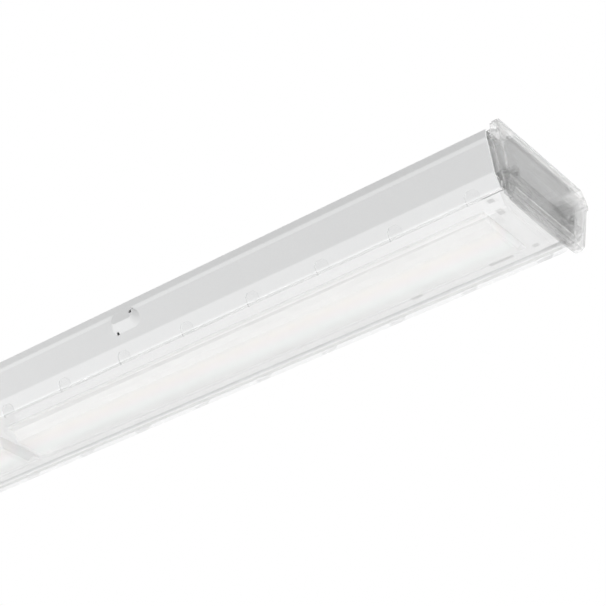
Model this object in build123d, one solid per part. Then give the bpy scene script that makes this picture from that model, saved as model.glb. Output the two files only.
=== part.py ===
"""Linear LED light in a folded steel trunking, with a clear clip-on cover and clear end caps.

Frame: millimetres, +Z up, +X along the light, +Y across it.
The origin is the middle of the crown, the flat top face that goes against the ceiling.
"""
from build123d import *
from math import atan2, hypot, tan
import os

# Light modules, which set the length of everything else
module_count = 4
module_pitch = 300.0
module_gap = 11.0
module_end_margin = 10.0
rail_length = module_count * module_pitch + 2 * module_end_margin

# Trunking rail, folded from one sheet
rail_sheet = 0.8
rail_bend = 0.5
rail_width = 70.0
crown_inset = 13.5
crown_rise = 1.8
crown_slope_run = 2.4
brow_height = 4.8
brow_inset = 0.8
brow_drop = 1.7
kink_inset = 4.5
kink_depth = 21.9
lip_inset = 8.4
lip_depth = 28.0
hem_width = 2.2
hem_height = 5.0
tongue_shoulder = 0.6
tongue_end_gap = 0.4
crown_width = rail_width - 2 * crown_inset
kink_width = rail_width - 2 * kink_inset
lip_width = rail_width - 2 * lip_inset

# Lugs pressed out of the rail's walls, flush with the brow, where the tray's springs catch
lug_from_middle = 402.5
lug_below_brow = 4.7
lug_foot_length = 17.7
lug_foot_height = 8.4
lug_foot_corner = 3.8
lug_foot_along = 0.55
lug_foot_up = 0.2
lug_face_length = 13.0
lug_face_height = 5.6
lug_face_corner = 2.2
lug_face_along = -0.8
lug_face_level = 9.5
lug_sink = 0.3
lug_relief_size = 1.6
lug_relief_reach = 5.0
lug_relief_above = (4.6, 4.2)
lug_relief_beside = (-5.2, -3.6)

# Ceiling fixing holes and the cable entry in the crown
fixing_spacing = 900.0
fixing_hole_radius = 2.6
cable_hole_radius = 10.0
cable_hole_from_middle = 300.0

# Gear tray
tray_sheet = 0.7
tray_bend = 0.5
tray_side_clearance = 0.3
tray_depth = 26.7
tray_side_height = 12.0
tray_end_margin = 12.0
tray_floor_end_gap = 0.8

# Clear cover
cover_wall = 1.6
cover_rim_gap = 0.15
cover_rim_inset = 0.2
cover_corner_inset = 4.9
cover_corner_depth = 34.8
cover_depth = 36.2
cover_corner_radius = 5.0
tab_pitch = 40.0
tab_end_margin = 13.0
tab_length = 7.0
tab_reach = 4.2
tab_wall = 1.0
tab_clearance = 0.25
tab_root_depth = 1.0
tab_root_top = 0.65
tab_root_foot = 1.8
tab_corner = 1.8

# Lens, LED board and its parts
lens_face_width = 17.5
lens_base_width = 24.0
lens_depth = 32.7
lens_wall = 1.4
lens_foot_width = 32.0
lens_foot_height = 1.4
lens_bulge = 1.2
lens_end_wall = 1.4
board_width = 17.0
board_thickness = 1.2
board_end_margin = 5.0
chip_count = 24
chip_length = 3.0
chip_width = 3.0
chip_height = 0.7
plug_length = 9.0
plug_width = 6.0
plug_height = 1.9
plug_from_end = 6.0
plug_mouth_offset = 1.5
plug_mouth_depth = 4.5
plug_mouth_width = 1.5
plug_mouth_height = 0.95
plug_mouth_rise = 0.5

# Snap pins on the feet of every lens, through the tray
pin_from_lens_end = 40.0
pin_size = 1.8
pin_edge = 0.4
pin_hole_clearance = 0.15
pin_barb = 0.5
pin_tip = 2.2

# Driver in the rail
driver_length = 280.0
driver_width = 22.0
driver_height = 20.0
driver_wall = 0.8
driver_from_middle = -60.0
driver_ear = 9.0
driver_terminal_length = 14.0
driver_terminal_width = 20.0
driver_terminal_height = 12.0
driver_poles = 4
driver_lid_clearance = 0.1
driver_lid_skirt = 5.0
stud_radius = 1.4
stud_height = 5.0
stud_clearance = 0.05
stud_hole_clearance = 0.3
nut_radius = 3.1
nut_height = 2.2

# Shares of a terminal block's length, height and pole pitch
terminal_shoulder_share = 0.7
terminal_crest_share = 0.55
terminal_mouth_share = 0.55
terminal_mouth_depth_share = 0.18
terminal_mouth_rise_share = 0.2
terminal_mouth_height_share = 0.3
terminal_well_share = 0.5
terminal_well_depth_share = 0.2

# Mains terminal, earth post and the cable's bush
mains_terminal_length = 24.0
mains_terminal_width = 36.0
mains_terminal_height = 14.0
mains_poles = 5
earth_post_size = 9.0
earth_post_height = 8.0
earth_post_gap = 9.0
earth_post_chamfer = 0.9
earth_mouth_radius = 1.6
earth_mouth_rise = 3.6
mains_terminal_offset = 26.0
grommet_bore_radius = 5.5
grommet_clearance = 0.2
grommet_flange = 2.5
grommet_thickness = 1.5

# Spring clips that hold the tray up in the rail
clip_sheet = 0.6
clip_width = 12.0
clip_side_gap = 0.1
clip_foot_rise = 2.0
clip_rise = 3.0
clip_hook_width = 1.6
clip_hook_gap = 0.4

# Clear end caps
cap_plate_thickness = 1.8
cap_collar_length = 4.8
cap_collar_inset = 0.9
cap_collar_wall = 1.5
cap_collar_depth = 29.5
cap_guide_start = 2.2
cap_guide_rise = 1.2
cap_guide_height = 5.0
cap_guide_width = 1.7
cap_guide_inset = 0.2
cap_spigot_length = 11.0
cap_spigot_clearance = 0.3
cap_spigot_wall = 1.4
cap_spigot_depth = 22.5
cap_window_margin = 3.0
cap_brow_inset = 5.5
cap_shoulder_inset = 1.5
cap_shoulder_depth = 5.0
cap_side_foot_inset = 7.3
cap_side_foot_depth = 31.0
cap_foot_inset = 9.7
cap_foot_depth = 34.4
cap_bottom_depth = 35.4
cap_ear_inset = 0.1
cap_bevel = 2.2
cap_nib_level = 5.8
cap_nib_height = 2.4
cap_nib_reach = 1.4
cap_rim_height = 1.6
cap_rim_wall = 1.2
cap_pocket_offset = 17.5
cap_pocket_length = 11.0
cap_pocket_height = 4.6
cap_pocket_depth = 3.0
cap_pocket_wall = 1.0
cap_pocket_level = 26.6
cap_post_offset = 22.0
cap_post_size = 4.0
cap_post_corner = 1.0
cap_post_length = 5.0
cap_rib_count = 3
cap_rib_pitch = 3.4
cap_rib_wall = 0.8
cap_rib_depth = 1.4
cap_rib_zone = 14.8
cap_rib_sink = 0.14

# How far a cut runs past what it cuts, and the largest share of a run that a corner may take
cut_margin = 1.0
corner_share = 0.45

half_rail = rail_length / 2
half_width = rail_width / 2
cover_ceiling = -(lip_depth + cover_rim_gap)


def straight_runs(points):
    """Lengths and unit directions of the runs of a path."""
    runs = []
    for (y0, z0), (y1, z1) in zip(points, points[1:]):
        length = hypot(y1 - y0, z1 - z0)
        runs.append((length, (y1 - y0) / length, (z1 - z0) / length))
    return runs


def turn_between(first, second):
    """Signed turn, in radians, from one run's direction to the next."""
    cross = first[1] * second[2] - first[2] * second[1]
    dot = first[1] * second[1] + first[2] * second[2]
    return atan2(cross, dot)


def parallel(points, distance):
    """The path moved sideways, to the right of its direction, with mitred corners."""
    runs = straight_runs(points)
    moved = []
    for index, (y, z) in enumerate(points):
        before = runs[max(index - 1, 0)]
        after = runs[min(index, len(runs) - 1)]
        normal_y = before[2] + after[2]
        normal_z = -before[1] - after[1]
        size = hypot(normal_y, normal_z)
        along = (normal_y * before[2] - normal_z * before[1]) / size
        moved.append((y + normal_y / size * distance / along, z + normal_z / size * distance / along))
    return moved


def limited_radius(wanted, first, second):
    """A corner radius that leaves more than half of both runs straight."""
    half_turn = abs(turn_between(first, second)) / 2
    if half_turn == 0:
        return 0.0
    return min(wanted, corner_share * min(first[0], second[0]) / tan(half_turn))


def folded_sheet(points, thickness, bend):
    """Section of a folded sheet whose outer surface follows the path, the sheet on its right."""
    inner = parallel(points, thickness)
    outer_runs = straight_runs(points)
    inner_runs = straight_runs(inner)
    outer_radii = []
    inner_radii = []
    for index in range(len(outer_runs) - 1):
        towards_sheet = turn_between(outer_runs[index], outer_runs[index + 1]) < 0
        outer_wish = bend + thickness if towards_sheet else bend
        inner_wish = bend if towards_sheet else bend + thickness
        outer_radii.append(limited_radius(outer_wish, outer_runs[index], outer_runs[index + 1]))
        inner_radii.append(limited_radius(inner_wish, inner_runs[index], inner_runs[index + 1]))
    outline = points + inner[::-1]
    radii = [0.0] + outer_radii + [0.0, 0.0] + inner_radii[::-1] + [0.0]
    return make_face(FilletPolyline(*outline, radius=radii, close=True))


def polygon(points):
    """Face of a closed outline with sharp corners."""
    return make_face(Polyline(*points, close=True))


def mirrored(half):
    """A half outline on the +Y side, listed from the top down, closed by its mirror image."""
    return half + [(-y, z) for y, z in half[::-1]]


def along_light(face, start, length):
    """Section face, given in Y and Z, drawn out along the light."""
    return Pos(start, 0, 0) * extrude(Plane.YZ * face, length)


def block(centre_x, centre_y, base_z, size_x, size_y, size_z):
    """Box on its base."""
    return Pos(centre_x, centre_y, base_z) * Box(
        size_x, size_y, size_z, align=(Align.CENTER, Align.CENTER, Align.MIN)
    )


def upright(centre_x, centre_y, base_z, radius, height):
    """Round bar on its base."""
    return Pos(centre_x, centre_y, base_z) * Cylinder(
        radius, height, align=(Align.CENTER, Align.CENTER, Align.MIN)
    )


# Outer surface of the rail on the +Y side, from the crown down to the hem
rail_half_path = [
    (crown_width / 2, 0.0),
    (crown_width / 2 + crown_slope_run, -crown_rise),
    (half_width, -crown_rise),
    (half_width, -crown_rise - brow_height),
    (half_width - brow_inset, -crown_rise - brow_height - brow_drop),
    (kink_width / 2, -kink_depth),
    (lip_width / 2, -lip_depth),
    (lip_width / 2 - hem_width, -lip_depth),
    (lip_width / 2 - hem_width, -lip_depth + hem_height),
]
brow_foot = rail_half_path[4]
kink_corner = rail_half_path[5]
lip_corner = rail_half_path[6]
hem_half = lip_width / 2 - hem_width
tongue_half = crown_width / 2 + crown_slope_run + tongue_shoulder


def rail_path():
    """The rail's outer surface, from the -Y hem over the crown to the +Y hem, sheet inside."""
    return [(-y, z) for y, z in rail_half_path[::-1]] + rail_half_path


def wall_plane(side, centre_x):
    """Plane on a rail wall at a lug: x along the light, y up the wall, z out of the light."""
    rise = brow_foot[1] - kink_corner[1]
    run = brow_foot[0] - kink_corner[0]
    length = hypot(rise, run)
    up = Vector(0, side * run / length, rise / length)
    out = Vector(0, side * rise / length, -run / length)
    middle = Vector(centre_x, side * brow_foot[0], brow_foot[1]) - up * lug_below_brow
    along = up.cross(out)
    return Plane(origin=middle, x_dir=along, z_dir=out)


def raised_lug(plane, side):
    """A lug pressed out of the wall: its solid outside, the hollow behind it and its two relief holes."""
    foot = Pos(lug_foot_along, lug_foot_up) * RectangleRounded(
        lug_foot_length, lug_foot_height, lug_foot_corner
    )
    middle = Vector(plane.origin.X, side * half_width, -lug_face_level)
    face_plane = Plane(origin=middle, x_dir=plane.x_dir, z_dir=Vector(0, side, 0))
    face = face_plane * Pos(lug_face_along, 0) * RectangleRounded(
        lug_face_length, lug_face_height, lug_face_corner
    )
    lug = loft([plane * foot, face], ruled=True)
    hollow = Pos(plane.z_dir * -rail_sheet) * lug + plane * Pos(0, 0, -rail_sheet) * extrude(foot, -lug_sink)
    through = rail_sheet + cut_margin + lug_relief_reach
    for x, y in (lug_relief_above, lug_relief_beside):
        hole = Pos(x, y) * Rectangle(lug_relief_size, lug_relief_size)
        hollow += plane * Pos(0, 0, -rail_sheet - cut_margin) * extrude(hole, through)
    return lug, hollow


def make_rail():
    """Trunking rail: one folded sheet with end tongues, raised lugs, fixing holes and a cable hole."""
    section = folded_sheet(rail_path(), rail_sheet, rail_bend)
    tongue_length = cap_collar_length - tongue_end_gap
    full_length = rail_length + 2 * tongue_length
    rail = along_light(section, -full_length / 2, full_length)
    under_tongue = lip_depth - crown_rise - rail_sheet - rail_bend
    beside_tongue = half_width - tongue_half
    beside_y = tongue_half + beside_tongue / 2
    for end in (-1, 1):
        middle = end * (half_rail + tongue_length / 2)
        rail -= block(middle, 0, -lip_depth, tongue_length, rail_width, under_tongue)
        for side in (-1, 1):
            rail -= block(middle, side * beside_y, -lip_depth, tongue_length, beside_tongue, lip_depth)
    for centre_x in (-lug_from_middle, lug_from_middle):
        for side in (-1, 1):
            lug, hollow = raised_lug(wall_plane(side, centre_x), side)
            rail = rail + lug - hollow
    under = -rail_sheet - cut_margin
    through = rail_sheet + 2 * cut_margin
    for centre_x in (-fixing_spacing / 2, fixing_spacing / 2):
        rail -= upright(centre_x, 0, under, fixing_hole_radius, through)
    rail -= upright(cable_hole_from_middle, 0, under, cable_hole_radius, through)
    return rail


tray_half = hem_half - tray_side_clearance
tray_length = rail_length - 2 * tray_end_margin
tray_top = -tray_depth + tray_sheet


def module_places():
    """X of the middle of every light module."""
    first = -(module_count - 1) * module_pitch / 2
    return [first + index * module_pitch for index in range(module_count)]


lens_length = module_pitch - module_gap
pin_y = lens_foot_width / 2 - pin_edge - pin_size / 2


def pin_places():
    """X and Y of every lens pin."""
    reach = lens_length / 2 - pin_from_lens_end
    return [(middle + end * reach, side * pin_y)
            for middle in module_places() for end in (-1, 1) for side in (-1, 1)]


def make_tray():
    """Gear tray: a folded channel, open to the top, that carries the light modules and the driver."""
    path = [
        (tray_half, -tray_depth + tray_side_height),
        (tray_half, -tray_depth),
        (-tray_half, -tray_depth),
        (-tray_half, -tray_depth + tray_side_height),
    ]
    section = folded_sheet(path, tray_sheet, tray_bend)
    tray = along_light(section, -tray_length / 2, tray_length)
    floor_length = rail_length - 2 * tray_floor_end_gap
    tray += block(0, 0, -tray_depth, floor_length, 2 * (tray_half - tray_sheet - tray_bend), tray_sheet)
    hole = pin_size + 2 * pin_hole_clearance
    for x, y in pin_places():
        tray -= block(x, y, -tray_depth - cut_margin, hole, hole, tray_sheet + 2 * cut_margin)
    for x in driver_stud_places():
        tray += upright(x, 0, tray_top - tray_sheet / 2, stud_radius, stud_height + tray_sheet / 2)
    return tray


def cover_outline(top):
    """Outer outline of the clear cover, with its top edge at the given height."""
    rim_half = lip_width / 2 - cover_rim_inset
    corner_half = lip_width / 2 - cover_corner_inset
    slope = (rim_half - corner_half) / (cover_ceiling + cover_corner_depth)
    top_half = rim_half + slope * (top - cover_ceiling)
    sides = Polyline((corner_half, -cover_corner_depth), (top_half, top), (-top_half, top),
                     (-corner_half, -cover_corner_depth))
    arch = ThreePointArc((-corner_half, -cover_corner_depth), (0, -cover_depth),
                         (corner_half, -cover_corner_depth))
    face = make_face(sides + arch)
    lower_corners = face.vertices().sort_by(Axis.Y)[:2]
    return fillet(lower_corners, cover_corner_radius)


def tab_places():
    """X of every snap tab along the cover, at the whole number of steps nearest the wanted pitch."""
    run = rail_length - 2 * tab_end_margin
    steps = round(run / tab_pitch)
    return [-run / 2 + index * run / steps for index in range(steps + 1)]


def snap_tab(side):
    """One snap tab at X = 0: a rounded tongue that lies outside the rail's lip."""
    rise = kink_corner[1] - lip_corner[1]
    run = kink_corner[0] - lip_corner[0]
    length = hypot(rise, run)
    up = Vector(0, side * run / length, rise / length)
    out = Vector(0, side * rise / length, -run / length)
    lip = Vector(0, side * lip_corner[0], lip_corner[1])
    plane = Plane(origin=lip + out * tab_clearance, x_dir=Vector(1, 0, 0), z_dir=out * side)
    sign = 1 if plane.y_dir.dot(up) > 0 else -1
    outline = polygon([
        (-tab_length / 2, -sign * tab_root_foot),
        (tab_length / 2, -sign * tab_root_foot),
        (tab_length / 2, sign * tab_reach),
        (-tab_length / 2, sign * tab_reach),
    ])
    upper = [v for v in outline.vertices() if v.Y * sign > 0]
    outline = chamfer(upper, min(tab_corner, tab_length * corner_share))
    root_height = tab_root_foot - tab_root_top
    root = Pos(0, -sign * (tab_root_top + root_height / 2)) * Rectangle(tab_length, root_height)
    return plane * (extrude(outline, side * tab_wall) + extrude(root, -side * tab_root_depth))


def make_cover():
    """Clear cover: an arched tub with closed ends and a row of snap tabs along each rim."""
    outer = cover_outline(cover_ceiling)
    tall = cover_outline(cover_ceiling + cover_wall + cut_margin)
    inner = offset(tall, -cover_wall)
    cover = along_light(outer, -half_rail, rail_length)
    cover -= along_light(inner, -half_rail + cover_wall, rail_length - 2 * cover_wall)
    tabs = []
    for side in (-1, 1):
        tab = snap_tab(side)
        tabs += [Pos(x, 0, 0) * tab for x in tab_places()]
    return cover + tabs


def make_lens(centre_x):
    """Linear lens over one board: flat face outside, bulged inside, closed at its ends, on two feet."""
    face = lens_face_width / 2
    base = lens_base_width / 2
    foot = lens_foot_width / 2
    foot_z = -tray_depth - lens_foot_height
    half = [(foot, -tray_depth), (foot, foot_z), (base, foot_z), (face, -lens_depth)]
    outer = polygon(mirrored(half))
    inner_face = face - lens_wall
    inner_base = base - lens_wall
    inner_z = -lens_depth + lens_wall
    sides = Polyline((inner_face, inner_z), (inner_base, -tray_depth), (-inner_base, -tray_depth),
                     (-inner_face, inner_z))
    bulge = ThreePointArc((-inner_face, inner_z), (0, inner_z + lens_bulge), (inner_face, inner_z))
    cavity = make_face(sides + bulge)
    start = centre_x - lens_length / 2
    lens = along_light(outer, start, lens_length)
    lens -= along_light(cavity, start + lens_end_wall, lens_length - 2 * lens_end_wall)
    for end in (-1, 1):
        for side in (-1, 1):
            lens += snap_pin(centre_x + end * (lens_length / 2 - pin_from_lens_end), side)
    return lens


def snap_pin(centre_x, side):
    """Square pin on a lens foot, through the tray, with a barb over the tray's upper face."""
    inner = pin_y - pin_size / 2
    outer = pin_y + pin_size / 2
    over = tray_top + pin_hole_clearance
    profile = polygon([
        (side * inner, -tray_depth),
        (side * outer, -tray_depth),
        (side * outer, over),
        (side * (outer + pin_barb), over),
        (side * pin_y, over + pin_tip),
        (side * inner, over + pin_tip),
    ])
    return along_light(profile, centre_x - pin_size / 2, pin_size)


board_length = lens_length - 2 * board_end_margin
board_face = -tray_depth - board_thickness


def make_board(centre_x):
    """LED board flat against the tray."""
    return block(centre_x, 0, board_face, board_length, board_width, board_thickness)


def plug_place(centre_x):
    """X of the middle of a board's plug."""
    return centre_x + board_length / 2 - plug_from_end


def make_chips(centre_x):
    """Row of LEDs on one board, ending short of the plug."""
    usable = board_length - 2 * (plug_from_end + plug_length)
    pitch = usable / (chip_count - 1)
    first = centre_x - usable / 2
    return [block(first + index * pitch, 0, board_face - chip_height, chip_length, chip_width,
                  chip_height) for index in range(chip_count)]


def make_plug(centre_x):
    """Plug-in connector at the end of one board, with two wire mouths."""
    x = plug_place(centre_x)
    body = block(x, 0, board_face - plug_height, plug_length, plug_width, plug_height)
    mouth_base = board_face - plug_height + plug_mouth_rise
    for side in (-1, 1):
        body -= block(x + plug_length / 2, side * plug_mouth_offset, mouth_base,
                      2 * plug_mouth_depth, plug_mouth_width, plug_mouth_height)
    return body


def driver_plate_length():
    """Length of the driver's base plate, terminals included."""
    return driver_length + 2 * (driver_terminal_length + driver_ear)


def make_driver_case():
    """Driver case: an open tray of sheet on a base plate whose ends carry the terminals."""
    base = tray_top
    plate = block(driver_from_middle, 0, base, driver_plate_length(), driver_width, driver_wall)
    shell = block(driver_from_middle, 0, base, driver_length, driver_width, driver_height)
    inside = block(driver_from_middle, 0, base + driver_wall, driver_length - 2 * driver_wall,
                   driver_width - 2 * driver_wall, driver_height)
    case = plate + (shell - inside)
    for x in driver_stud_places():
        case -= upright(x, 0, base - cut_margin, stud_radius + stud_hole_clearance,
                        driver_wall + 2 * cut_margin)
    return case


def make_driver_lid():
    """Driver lid: a folded cover that drops over the case's long walls."""
    outer = driver_width / 2 + driver_lid_clearance + driver_wall
    top = tray_top + driver_height + driver_wall
    path = [(outer, top - driver_lid_skirt), (outer, top), (-outer, top), (-outer, top - driver_lid_skirt)]
    return along_light(folded_sheet(path[::-1], driver_wall, driver_lid_clearance),
                       driver_from_middle - driver_length / 2, driver_length)


def terminal(centre_x, base, length, width, height, poles):
    """Terminal block: a stepped moulding with wire mouths and a spring's release well for every pole."""
    body = block(centre_x, 0, base, length, width, height * terminal_shoulder_share)
    body += block(centre_x, 0, base, length * terminal_crest_share, width, height)
    pitch = width / poles
    mouth = pitch * terminal_mouth_share
    mouth_depth = length * terminal_mouth_depth_share
    mouth_base = base + height * terminal_mouth_rise_share
    well = pitch * terminal_well_share
    well_base = base + height * (1 - terminal_well_depth_share)
    for pole in range(poles):
        y = pitch * (pole - (poles - 1) / 2)
        for side in (-1, 1):
            body -= block(centre_x + side * length / 2, y, mouth_base, 2 * mouth_depth,
                          mouth, height * terminal_mouth_height_share)
        body -= block(centre_x, y, well_base, well, well, height)
    return body


def make_driver_terminal(side):
    """Terminal block at one end of the driver, seated on its base plate."""
    x = driver_from_middle + side * (driver_length + driver_terminal_length) / 2
    return terminal(x, tray_top + driver_wall, driver_terminal_length, driver_terminal_width,
                    driver_terminal_height, driver_poles)


def driver_stud_places():
    """X of the two studs that hold the driver."""
    reach = driver_plate_length() / 2 - driver_ear / 2
    return [driver_from_middle - reach, driver_from_middle + reach]


def make_driver_nuts():
    """Hexagon nuts on the tray's studs, down on the driver's ears."""
    nuts = []
    for x in driver_stud_places():
        nut = extrude(RegularPolygon(nut_radius, 6), nut_height)
        nut -= upright(0, 0, -cut_margin, stud_radius + stud_clearance, nut_height + 2 * cut_margin)
        nuts.append(Pos(x, 0, tray_top + driver_wall) * nut)
    return nuts


def make_mains_terminal():
    """Mains terminal block on the tray, under the cable entry."""
    return terminal(cable_hole_from_middle + mains_terminal_offset, tray_top, mains_terminal_length,
                    mains_terminal_width, mains_terminal_height, mains_poles)


def make_earth_terminal():
    """Brass earth post with a cross hole for the wire."""
    terminal_end = cable_hole_from_middle + mains_terminal_offset + mains_terminal_length / 2
    x = terminal_end + earth_post_gap + earth_post_size / 2
    post = block(x, 0, tray_top, earth_post_size, earth_post_size, earth_post_height)
    post = chamfer(post.faces().sort_by(Axis.Z)[-1].edges(), earth_post_chamfer)
    mouth = Cylinder(earth_mouth_radius, earth_post_size + 2 * cut_margin)
    return post - Pos(x, 0, tray_top + earth_mouth_rise) * Rot(90, 0, 0) * mouth


def make_grommet():
    """Rubber bush in the cable hole, flush with the crown, with its flange inside the rail."""
    neck = cable_hole_radius - grommet_clearance
    flange = cable_hole_radius + grommet_flange
    under = -rail_sheet - grommet_clearance / 2
    foot = under - grommet_thickness
    profile = polygon([(grommet_bore_radius, 0), (neck, 0), (neck, under), (flange, under),
                       (flange, foot), (grommet_bore_radius, foot)])
    return Pos(cable_hole_from_middle, 0, 0) * revolve(Plane.XZ * profile, Axis.Z)


def make_clip(centre_x, side):
    """Spring clip: stands inside the tray's wall and hooks out towards a lug of the rail."""
    stand = tray_half - tray_sheet - clip_side_gap - clip_sheet
    plane = wall_plane(1, centre_x)
    reach = plane.origin.Y - rail_sheet - clip_hook_gap
    rest = plane.origin.Z
    path = [
        (stand, -tray_depth + tray_sheet + clip_foot_rise),
        (stand, -tray_depth + tray_side_height + clip_rise),
        (reach - clip_hook_width, rest + clip_rise),
        (reach, rest),
        (reach - clip_hook_width, rest - clip_rise),
    ]
    clip = along_light(folded_sheet(path, clip_sheet, 0.0), -clip_width / 2, clip_width)
    turned = clip if side > 0 else Rot(0, 0, 180) * clip
    return Pos(centre_x, 0, 0) * turned


def cap_plate_outline():
    """Outline of the end cap's flange: chamfered at one top corner, an ear at the other."""
    right = [
        (half_width - cap_brow_inset, 0.0),
        (half_width - cap_shoulder_inset, -cap_shoulder_depth),
        (half_width - cap_side_foot_inset, -cap_side_foot_depth),
        (half_width - cap_foot_inset, -cap_foot_depth),
    ]
    left = [(-y, z) for y, z in right[::-1]]
    left[-1] = (cap_ear_inset - half_width, 0.0)
    sides = Polyline(*(left + right))
    arch = ThreePointArc(right[-1], (0, -cap_bottom_depth), left[0])
    return make_face(sides + arch)


def cap_section(inset, base_depth):
    """Outline that follows the rail's walls, set in from them, from under its shoulders down."""
    top = -(crown_rise + rail_sheet + cap_spigot_clearance)
    shoulder, brow, ledge, kink, foot = parallel(rail_half_path[2:7], inset)
    share = (-base_depth - kink[1]) / (foot[1] - kink[1])
    half = [(shoulder[0], top), brow, ledge, kink, (kink[0] + (foot[0] - kink[0]) * share, -base_depth)]
    return polygon(mirrored(half))


def ring(outline, wall, start, length):
    """Tube of the outline, its wall inside it."""
    return along_light(outline - offset(outline, -wall), start, length)


def flange_bevel():
    """What is cut from the flange's arched bottom, so that it slopes up to a straight outer edge."""
    inner = cap_collar_length
    outer = cap_collar_length + cap_plate_thickness
    low = -cap_bottom_depth
    profile = polygon([
        (inner, low), (outer, low + cap_bevel), (outer + cap_plate_thickness, low + cap_bevel),
        (outer + cap_plate_thickness, low - cap_bevel), (inner, low - cap_bevel),
    ])
    return extrude(Plane.XZ * profile, half_width, both=True)


def make_end_cap():
    """Clear moulded end cap in its own frame: x is 0 at the rail's end and grows outwards."""
    outline = cap_plate_outline()
    back = cap_collar_length
    cap = along_light(outline, back, cap_plate_thickness)
    cap -= flange_bevel()
    cap += ring(outline, cap_rim_wall, back - cap_rim_height, cap_rim_height)
    nib_y = half_width - cap_shoulder_inset - cap_nib_reach / 2
    cap += block(back + cap_plate_thickness / 2, nib_y, -cap_nib_level - cap_nib_height,
                 cap_plate_thickness, 2 * cap_nib_reach, cap_nib_height)
    collar = cap_section(cap_collar_inset, cap_collar_depth)
    cap += ring(collar, cap_collar_wall, cap_spigot_clearance, back - cap_spigot_clearance)
    spigot = cap_section(rail_sheet + cap_spigot_clearance, cap_spigot_depth)
    cap += ring(spigot, cap_spigot_wall, -cap_spigot_length, cap_spigot_length + back)
    tongue_room = crown_rise + rail_sheet + cap_spigot_clearance
    cap -= block(back / 2, 0, -tongue_room, back, 2 * (tongue_half + cap_spigot_clearance), 2 * tongue_room)
    window = rail_width - 2 * (rail_sheet + cap_spigot_wall + cap_window_margin)
    cap -= block(-cap_spigot_length / 2, 0, -tongue_room - cap_spigot_wall - cut_margin, cap_spigot_length,
                 window, cap_spigot_wall + 2 * cut_margin)
    guide_length = back - cap_guide_start
    guide_y = half_width - cap_guide_inset - cap_guide_width / 2
    guide_top = -crown_rise + cap_guide_rise
    for side in (-1, 1):
        cap += block(cap_guide_start + guide_length / 2, side * guide_y, guide_top - cap_guide_height,
                     guide_length, cap_guide_width, cap_guide_height)
        wall_half = half_width - rail_sheet - cap_spigot_clearance - cap_spigot_wall
        for rib in range(cap_rib_count):
            x = back - cap_rib_pitch * (rib + 1)
            bar = block(x, side * wall_half, -cap_spigot_depth, cap_rib_wall, cap_rib_zone,
                        cap_spigot_depth - crown_rise)
            band = offset(spigot, cap_rib_sink - cap_spigot_wall)
            band -= offset(spigot, -cap_spigot_wall - cap_rib_depth)
            cap += bar & along_light(band, -cap_spigot_length, cap_spigot_length + back)
        middle = side * cap_pocket_offset
        frame = Rectangle(cap_pocket_length, cap_pocket_height)
        frame -= Rectangle(cap_pocket_length - 2 * cap_pocket_wall, cap_pocket_height - 2 * cap_pocket_wall)
        frame = Pos(middle, -cap_pocket_level) * frame
        cap += along_light(frame, back - cap_pocket_depth, cap_pocket_depth)
        post = Pos(side * cap_post_offset, -cap_spigot_depth + cap_spigot_wall + cap_post_size / 2)
        post = post * RectangleRounded(cap_post_size, cap_post_size, cap_post_corner)
        cap += along_light(post, back - cap_post_length, cap_post_length)
    return cap


def place_cap(cap, side):
    """The cap moved to the +X end, or turned half round to the -X end."""
    turned = cap if side > 0 else Rot(0, 0, 180) * cap
    return Pos(side * half_rail, 0, 0) * turned


def group(solids):
    """Separate solids written as one node."""
    return Compound(children=[solid for piece in solids for solid in piece.solids()])


def make_parts():
    """Every node of the light, by name."""
    parts = {
        "trunking_rail": make_rail(),
        "gear_tray": make_tray(),
        "clear_cover": make_cover(),
        "driver_case": make_driver_case(),
        "driver_lid": make_driver_lid(),
        "driver_terminal_in": make_driver_terminal(1),
        "driver_terminal_out": make_driver_terminal(-1),
        "driver_nuts": group(make_driver_nuts()),
        "mains_terminal": make_mains_terminal(),
        "earth_terminal": make_earth_terminal(),
        "cable_grommet": make_grommet(),
    }
    for number, x in enumerate(module_places(), 1):
        parts[f"led_board_{number}"] = make_board(x)
        parts[f"led_chips_{number}"] = group(make_chips(x))
        parts[f"board_plug_{number}"] = make_plug(x)
        parts[f"lens_{number}"] = make_lens(x)
    corners = {"right_far": (1, 1), "right_near": (1, -1), "left_far": (-1, 1), "left_near": (-1, -1)}
    for name, (end, side) in corners.items():
        parts[f"tray_clip_{name}"] = make_clip(end * lug_from_middle, side)
    cap = make_end_cap()
    parts["end_cap_right"] = place_cap(cap, 1)
    parts["end_cap_left"] = place_cap(cap, -1)
    return parts


os.makedirs("parts", exist_ok=True)
for node, solid in make_parts().items():
    export_step(solid, f"parts/{node}.step")
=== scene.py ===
import math

import bpy
from mathutils import Euler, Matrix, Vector


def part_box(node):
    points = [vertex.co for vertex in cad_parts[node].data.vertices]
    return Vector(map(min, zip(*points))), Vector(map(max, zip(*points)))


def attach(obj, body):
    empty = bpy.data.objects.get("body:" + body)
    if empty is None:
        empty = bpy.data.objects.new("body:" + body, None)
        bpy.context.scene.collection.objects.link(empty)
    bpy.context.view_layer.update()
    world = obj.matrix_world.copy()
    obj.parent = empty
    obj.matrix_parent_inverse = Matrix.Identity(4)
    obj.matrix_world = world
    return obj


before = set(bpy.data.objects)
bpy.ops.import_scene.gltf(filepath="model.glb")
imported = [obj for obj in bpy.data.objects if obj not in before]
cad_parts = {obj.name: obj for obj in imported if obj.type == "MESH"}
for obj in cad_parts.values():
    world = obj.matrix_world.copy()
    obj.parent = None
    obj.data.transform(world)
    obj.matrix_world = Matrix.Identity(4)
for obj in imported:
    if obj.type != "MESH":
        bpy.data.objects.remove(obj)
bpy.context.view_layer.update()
rail_low, rail_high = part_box("trunking_rail")
tray_low, tray_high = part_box("gear_tray")
cover_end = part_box("clear_cover")[1].x

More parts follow.
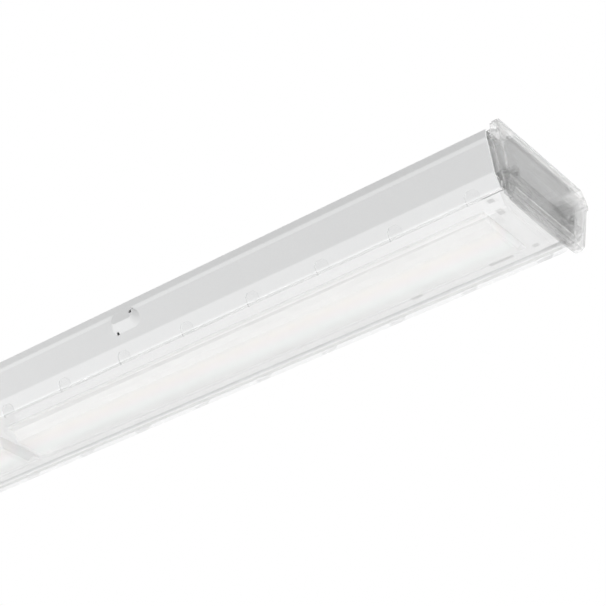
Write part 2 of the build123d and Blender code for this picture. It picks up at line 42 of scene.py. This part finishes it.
# Camera, level and below the light, looking up along it towards its left end
PICTURE_PIXELS = 606
FOCAL_PIXELS = 1793.0
SENSOR_WIDTH = 36.0
NEAR_LIMIT = 0.01
LOOK_UP = 33.2
LOOK_ROUND = 39.3

# The rail's near top corner at its right end, which fixes the camera's place
CORNER_DROP = 0.003
CORNER_PIXEL = (485.0, 130.0)
CORNER_DEPTH = 0.7415

# Floor and even light
FLOOR_LEVEL = -2.6
FLOOR_SIZE = 30.0
AMBIENT_LEVEL = 0.18
TOP_LAMP_STRENGTH = 1.85
TOP_LAMP_SPREAD = 20.0

# Plain printed fields on the tray's lower face: distance from the tray's right end,
# place across, size along and size across
FIELD_GAP = 0.000005
FIELD_THICKNESS = 0.00003
PRINTED_FIELDS = (
    (0.0081, -0.0200, 0.0030, 0.0026),
    (0.0092, -0.0112, 0.0030, 0.0040),
    (0.0292, 0.0190, 0.0120, 0.0018),
    (0.0111, 0.0186, 0.0030, 0.0022),
    (0.0746, 0.0190, 0.0060, 0.0016),
)

# Painted refraction colours of the lens: the faint warm, pink and green fringes that light bent
# through the clear lens shows, painted into its colour; place across the light and colour, from the
# near to the far side
LENS_PAINTED_REFRACTION_BANDS = (
    (-0.0085, (0.98, 0.975, 0.97)),
    (-0.005, (1.0, 0.97, 0.935)),
    (-0.001, (0.98, 0.93, 0.955)),
    (0.003, (0.94, 0.98, 0.965)),
    (0.0085, (0.98, 0.98, 0.98)),
)

# Texture of the finishes
TEXTURE_ROUGHNESS = 0.55
SOLID_DETAIL = 4.0
CLEAR_DETAIL = 2.0
RAMP_START = 0.35
RAMP_END = 0.65
NO_STRETCH = (1.0, 1.0, 1.0)
MOULD_FLOW = (0.3, 1.0, 1.0)
BRUSHED_UPRIGHT = (1.0, 1.0, 0.1)


def colour4(colour):
    """A colour with full opacity."""
    return (*colour, 1.0)


def grey(level):
    """A grey as a colour."""
    return (level, level, level)


def new_material(name):
    """A node material, with its tree and its Principled shader."""
    material = bpy.data.materials.new(name)
    material.use_nodes = True
    tree = material.node_tree
    return material, tree, tree.nodes["Principled BSDF"]


def noise(tree, cells, detail, stretch):
    """Noise in the object's own coordinates, in cells per metre."""
    place = tree.nodes.new("ShaderNodeTexCoord")
    mapping = tree.nodes.new("ShaderNodeMapping")
    mapping.inputs["Scale"].default_value = stretch
    texture = tree.nodes.new("ShaderNodeTexNoise")
    texture.inputs["Scale"].default_value = cells
    texture.inputs["Detail"].default_value = detail
    texture.inputs["Roughness"].default_value = TEXTURE_ROUGHNESS
    tree.links.new(place.outputs["Object"], mapping.inputs["Vector"])
    tree.links.new(mapping.outputs["Vector"], texture.inputs["Vector"])
    return texture.outputs["Fac"]


def ramp(tree, source, low, high):
    """A colour between two colours, driven by a texture."""
    node = tree.nodes.new("ShaderNodeValToRGB")
    first, last = node.color_ramp.elements
    first.position = RAMP_START
    last.position = RAMP_END
    first.color = colour4(low)
    last.color = colour4(high)
    tree.links.new(source, node.inputs["Fac"])
    return node.outputs["Color"]


def roughen(tree, shader, source, roughness, relief):
    """A roughness range and a fine relief from one texture, the relief in metres."""
    gloss = ramp(tree, source, grey(roughness[0]), grey(roughness[1]))
    tree.links.new(gloss, shader.inputs["Roughness"])
    bump = tree.nodes.new("ShaderNodeBump")
    bump.inputs["Distance"].default_value = relief
    tree.links.new(source, bump.inputs["Height"])
    tree.links.new(bump.outputs["Normal"], shader.inputs["Normal"])


def solid_finish(name, low, high, cells, roughness, relief, metallic=0.0, stretch=NO_STRETCH):
    """Opaque finish whose colour varies a little from low to high."""
    material, tree, shader = new_material(name)
    texture = noise(tree, cells, SOLID_DETAIL, stretch)
    tree.links.new(ramp(tree, texture, low, high), shader.inputs["Base Color"])
    shader.inputs["Metallic"].default_value = metallic
    roughen(tree, shader, texture, roughness, relief)
    return material


def either(tree, one, other):
    """One for a ray of either of two kinds, nought for others."""
    node = tree.nodes.new("ShaderNodeMath")
    node.operation = "MAXIMUM"
    tree.links.new(one, node.inputs[0])
    tree.links.new(other, node.inputs[1])
    return node.outputs[0]


def let_light_through(tree, surface, openness, dimming):
    """A share of the surface is plainly seen through, and shadow and diffuse rays pass it all."""
    open_way = tree.nodes.new("ShaderNodeBsdfTransparent")
    seen_through = tree.nodes.new("ShaderNodeBsdfTransparent")
    seen_through.inputs["Color"].default_value = colour4(grey(dimming))
    thin = tree.nodes.new("ShaderNodeMixShader")
    thin.inputs["Fac"].default_value = openness
    tree.links.new(surface, thin.inputs[1])
    tree.links.new(seen_through.outputs["BSDF"], thin.inputs[2])
    rays = tree.nodes.new("ShaderNodeLightPath")
    mix = tree.nodes.new("ShaderNodeMixShader")
    passing = either(tree, rays.outputs["Is Shadow Ray"], rays.outputs["Is Diffuse Ray"])
    tree.links.new(passing, mix.inputs["Fac"])
    tree.links.new(thin.outputs["Shader"], mix.inputs[1])
    tree.links.new(open_way.outputs["BSDF"], mix.inputs[2])
    tree.links.new(mix.outputs["Shader"], tree.nodes["Material Output"].inputs["Surface"])


def clear_finish(name, ior, cells, roughness, relief, openness, clarity=1.0, dimming=1.0):
    """Clear plastic with a slight flow relief, still without its colour."""
    material, tree, shader = new_material(name)
    shader.inputs["IOR"].default_value = ior
    shader.inputs["Transmission Weight"].default_value = clarity
    texture = noise(tree, cells, CLEAR_DETAIL, MOULD_FLOW)
    roughen(tree, shader, texture, roughness, relief)
    let_light_through(tree, shader.outputs["BSDF"], openness, dimming)
    return material


def tint(material, colour):
    """Gives a clear finish one colour."""
    shader = material.node_tree.nodes["Principled BSDF"]
    shader.inputs["Base Color"].default_value = colour4(colour)


def tint_across(material, bands):
    """Colours a clear finish in soft bands from its -Y to its +Y side, places in metres."""
    tree = material.node_tree
    first = bands[0][0]
    last = bands[-1][0]
    place = tree.nodes.new("ShaderNodeTexCoord")
    axes = tree.nodes.new("ShaderNodeSeparateXYZ")
    share = tree.nodes.new("ShaderNodeMapRange")
    share.inputs["From Min"].default_value = first
    share.inputs["From Max"].default_value = last
    colours = tree.nodes.new("ShaderNodeValToRGB")
    stops = colours.color_ramp.elements
    while len(stops) < len(bands):
        stops.new(0.5)
    for stop, (y, colour) in zip(stops, bands):
        stop.position = (y - first) / (last - first)
        stop.color = colour4(colour)
    tree.links.new(place.outputs["Object"], axes.inputs["Vector"])
    tree.links.new(axes.outputs["Y"], share.inputs["Value"])
    tree.links.new(share.outputs["Result"], colours.inputs["Fac"])
    tree.links.new(colours.outputs["Color"], tree.nodes["Principled BSDF"].inputs["Base Color"])


white_paint = solid_finish(
    "white_paint", low=(0.83, 0.835, 0.84), high=(0.845, 0.85, 0.85), cells=1400.0,
    roughness=(0.36, 0.44), relief=0.00002)
white_tray = solid_finish(
    "white_tray", low=(0.82, 0.822, 0.825), high=(0.84, 0.84, 0.84), cells=900.0,
    roughness=(0.4, 0.5), relief=0.00002)
white_plastic = solid_finish(
    "white_plastic", low=(0.86, 0.86, 0.85), high=(0.89, 0.89, 0.88), cells=700.0,
    roughness=(0.35, 0.45), relief=0.00002)
solder_mask = solid_finish(
    "solder_mask", low=(0.94, 0.945, 0.94), high=(0.96, 0.96, 0.955), cells=500.0,
    roughness=(0.3, 0.4), relief=0.00001)
phosphor = solid_finish(
    "phosphor", low=(0.94, 0.86, 0.66), high=(0.95, 0.89, 0.72), cells=2500.0,
    roughness=(0.3, 0.5), relief=0.00001)
zinc = solid_finish(
    "zinc", low=(0.56, 0.58, 0.6), high=(0.66, 0.68, 0.69), cells=300.0,
    roughness=(0.28, 0.42), relief=0.00001, metallic=1.0)
spring_steel = solid_finish(
    "spring_steel", low=(0.5, 0.5, 0.51), high=(0.62, 0.62, 0.63), cells=900.0,
    roughness=(0.22, 0.36), relief=0.00001, metallic=1.0, stretch=BRUSHED_UPRIGHT)
brass = solid_finish(
    "brass", low=(0.72, 0.54, 0.24), high=(0.8, 0.62, 0.3), cells=600.0,
    roughness=(0.25, 0.38), relief=0.00001, metallic=1.0)
rubber = solid_finish(
    "rubber", low=(0.025, 0.025, 0.026), high=(0.045, 0.045, 0.046), cells=900.0,
    roughness=(0.6, 0.75), relief=0.00003)
grey_plastic = solid_finish(
    "grey_plastic", low=(0.46, 0.47, 0.48), high=(0.52, 0.53, 0.54), cells=900.0,
    roughness=(0.4, 0.5), relief=0.00003)
clear_acrylic = clear_finish(
    "clear_acrylic", ior=1.49, cells=60.0, roughness=(0.02, 0.05), relief=0.00002,
    openness=0.8, dimming=0.985)
tint(clear_acrylic, (0.995, 0.997, 1.0))
lens_plastic = clear_finish(
    "lens_plastic", ior=1.49, cells=300.0, roughness=(0.3, 0.4), relief=0.00002,
    openness=0.4, clarity=0.12)
# The lens's colour carries painted refraction fringes, in soft bands across it
tint_across(lens_plastic, LENS_PAINTED_REFRACTION_BANDS)
clear_cap = clear_finish(
    "clear_cap", ior=1.5, cells=120.0, roughness=(0.0, 0.02), relief=0.00001,
    openness=0.55, dimming=0.99)
tint(clear_cap, (0.985, 0.985, 0.98))

# Finish of each CAD node, by the start of its name
NODE_FINISH = {
    "trunking_rail": white_paint,
    "gear_tray": white_tray,
    "clear_cover": clear_acrylic,
    "driver_case": zinc,
    "driver_lid": zinc,
    "driver_nuts": zinc,
    "driver_terminal": grey_plastic,
    "mains_terminal": white_plastic,
    "earth_terminal": brass,
    "cable_grommet": rubber,
    "led_board": solder_mask,
    "led_chips": phosphor,
    "board_plug": white_plastic,
    "lens": lens_plastic,
    "tray_clip": spring_steel,
    "end_cap": clear_cap,
}


def finish_of(node):
    """The finish whose name the node's name starts with."""
    return next(finish for start, finish in NODE_FINISH.items() if node.startswith(start))


def finish_cad_nodes():
    """Puts each CAD node's finish on it."""
    for node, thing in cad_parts.items():
        thing.data.materials.clear()
        thing.data.materials.append(finish_of(node))


def make_printed_fields():
    """Plain pale grey fields where the tray is printed near its right end."""
    ink = solid_finish(
        "print_grey", low=grey(0.56), high=grey(0.62), cells=2500.0,
        roughness=(0.5, 0.6), relief=0.000005)
    level = tray_low.z - FIELD_GAP - FIELD_THICKNESS / 2
    for number, (from_end, y, along, across) in enumerate(PRINTED_FIELDS, 1):
        bpy.ops.mesh.primitive_cube_add(size=1.0, location=(tray_high.x - from_end, y, level))
        field = bpy.context.object
        field.name = f"printed_field_{number}"
        field.scale = (along, across, FIELD_THICKNESS)
        bpy.ops.object.transform_apply(location=False, rotation=False, scale=True)
        field.data.materials.append(ink)
        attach(field, "root")


def make_floor():
    """Pale floor far below the light."""
    bpy.ops.mesh.primitive_plane_add(size=FLOOR_SIZE, location=(0, 0, FLOOR_LEVEL))
    floor = bpy.context.object
    floor.name = "floor"
    paint = solid_finish(
        "floor_paint", low=(0.84, 0.84, 0.83), high=grey(0.86), cells=2.0,
        roughness=(0.7, 0.8), relief=0.0001)
    floor.data.materials.append(paint)


def make_world():
    """White where it is seen or reflected, a plain grey where it lights."""
    world = bpy.data.worlds.new("studio")
    bpy.context.scene.world = world
    world.use_nodes = True
    tree = world.node_tree
    background = tree.nodes["Background"]
    rays = tree.nodes.new("ShaderNodeLightPath")
    seen = rays.outputs["Is Camera Ray"]
    for kind in ("Is Glossy Ray", "Is Transmission Ray"):
        seen = either(tree, seen, rays.outputs[kind])
    level = tree.nodes.new("ShaderNodeMapRange")
    level.inputs["To Min"].default_value = AMBIENT_LEVEL
    level.inputs["To Max"].default_value = 1.0
    tree.links.new(seen, level.inputs["Value"])
    tree.links.new(level.outputs["Result"], background.inputs["Strength"])
    background.inputs["Color"].default_value = colour4(grey(1.0))


def area_lamp(name, place, aim, size, power):
    """Soft lamp turned to a point and not seen itself, its size in metres, its power in watts."""
    data = bpy.data.lights.new(name, "AREA")
    data.shape = "RECTANGLE"
    data.size = size[0]
    data.size_y = size[1]
    data.energy = power
    lamp = bpy.data.objects.new(name, data)
    bpy.context.scene.collection.objects.link(lamp)
    lamp.location = place
    lamp.rotation_euler = (Vector(aim) - Vector(place)).to_track_quat("-Z", "Y").to_euler()
    lamp.visible_camera = False
    lamp.visible_transmission = False
    lamp.visible_glossy = False


def make_top_lamp():
    """Even light from straight above, which the floor throws back at the light."""
    data = bpy.data.lights.new("top_lamp", "SUN")
    data.energy = TOP_LAMP_STRENGTH
    data.angle = math.radians(TOP_LAMP_SPREAD)
    lamp = bpy.data.objects.new("top_lamp", data)
    bpy.context.scene.collection.objects.link(lamp)


def make_camera():
    """Camera whose place follows from one corner of the rail, its pixel and its depth."""
    data = bpy.data.cameras.new("camera")
    data.sensor_width = SENSOR_WIDTH
    data.lens = FOCAL_PIXELS / PICTURE_PIXELS * SENSOR_WIDTH
    data.clip_start = NEAR_LIMIT
    camera = bpy.data.objects.new("camera", data)
    bpy.context.scene.collection.objects.link(camera)
    turn = Euler((math.radians(90 + LOOK_UP), 0, math.radians(LOOK_ROUND)))
    camera.rotation_euler = turn
    corner = Vector((cover_end, rail_low.y, rail_high.z - CORNER_DROP))
    across = (CORNER_PIXEL[0] - PICTURE_PIXELS / 2) / FOCAL_PIXELS
    upward = (PICTURE_PIXELS / 2 - CORNER_PIXEL[1]) / FOCAL_PIXELS
    ray = Vector((across, upward, -1.0)) * CORNER_DEPTH
    camera.location = corner - turn.to_matrix() @ ray
    bpy.context.scene.camera = camera


finish_cad_nodes()
make_printed_fields()
make_floor()
make_world()
area_lamp("under_lamp", place=(0.3, 0.1, -1.5), aim=(0.3, 0.0, 0.0), size=(2.4, 1.8), power=9.0)
area_lamp("side_lamp", place=(-0.25, -0.85, -0.42), aim=(0.15, 0.0, 0.0), size=(0.8, 0.8), power=5.4)
area_lamp("end_lamp", place=(1.05, -0.03, -0.12), aim=(0.6, 0.0, -0.012), size=(0.3, 0.2), power=1.3)
make_top_lamp()
make_camera()

scene = bpy.context.scene
scene.view_settings.view_transform = "Standard"
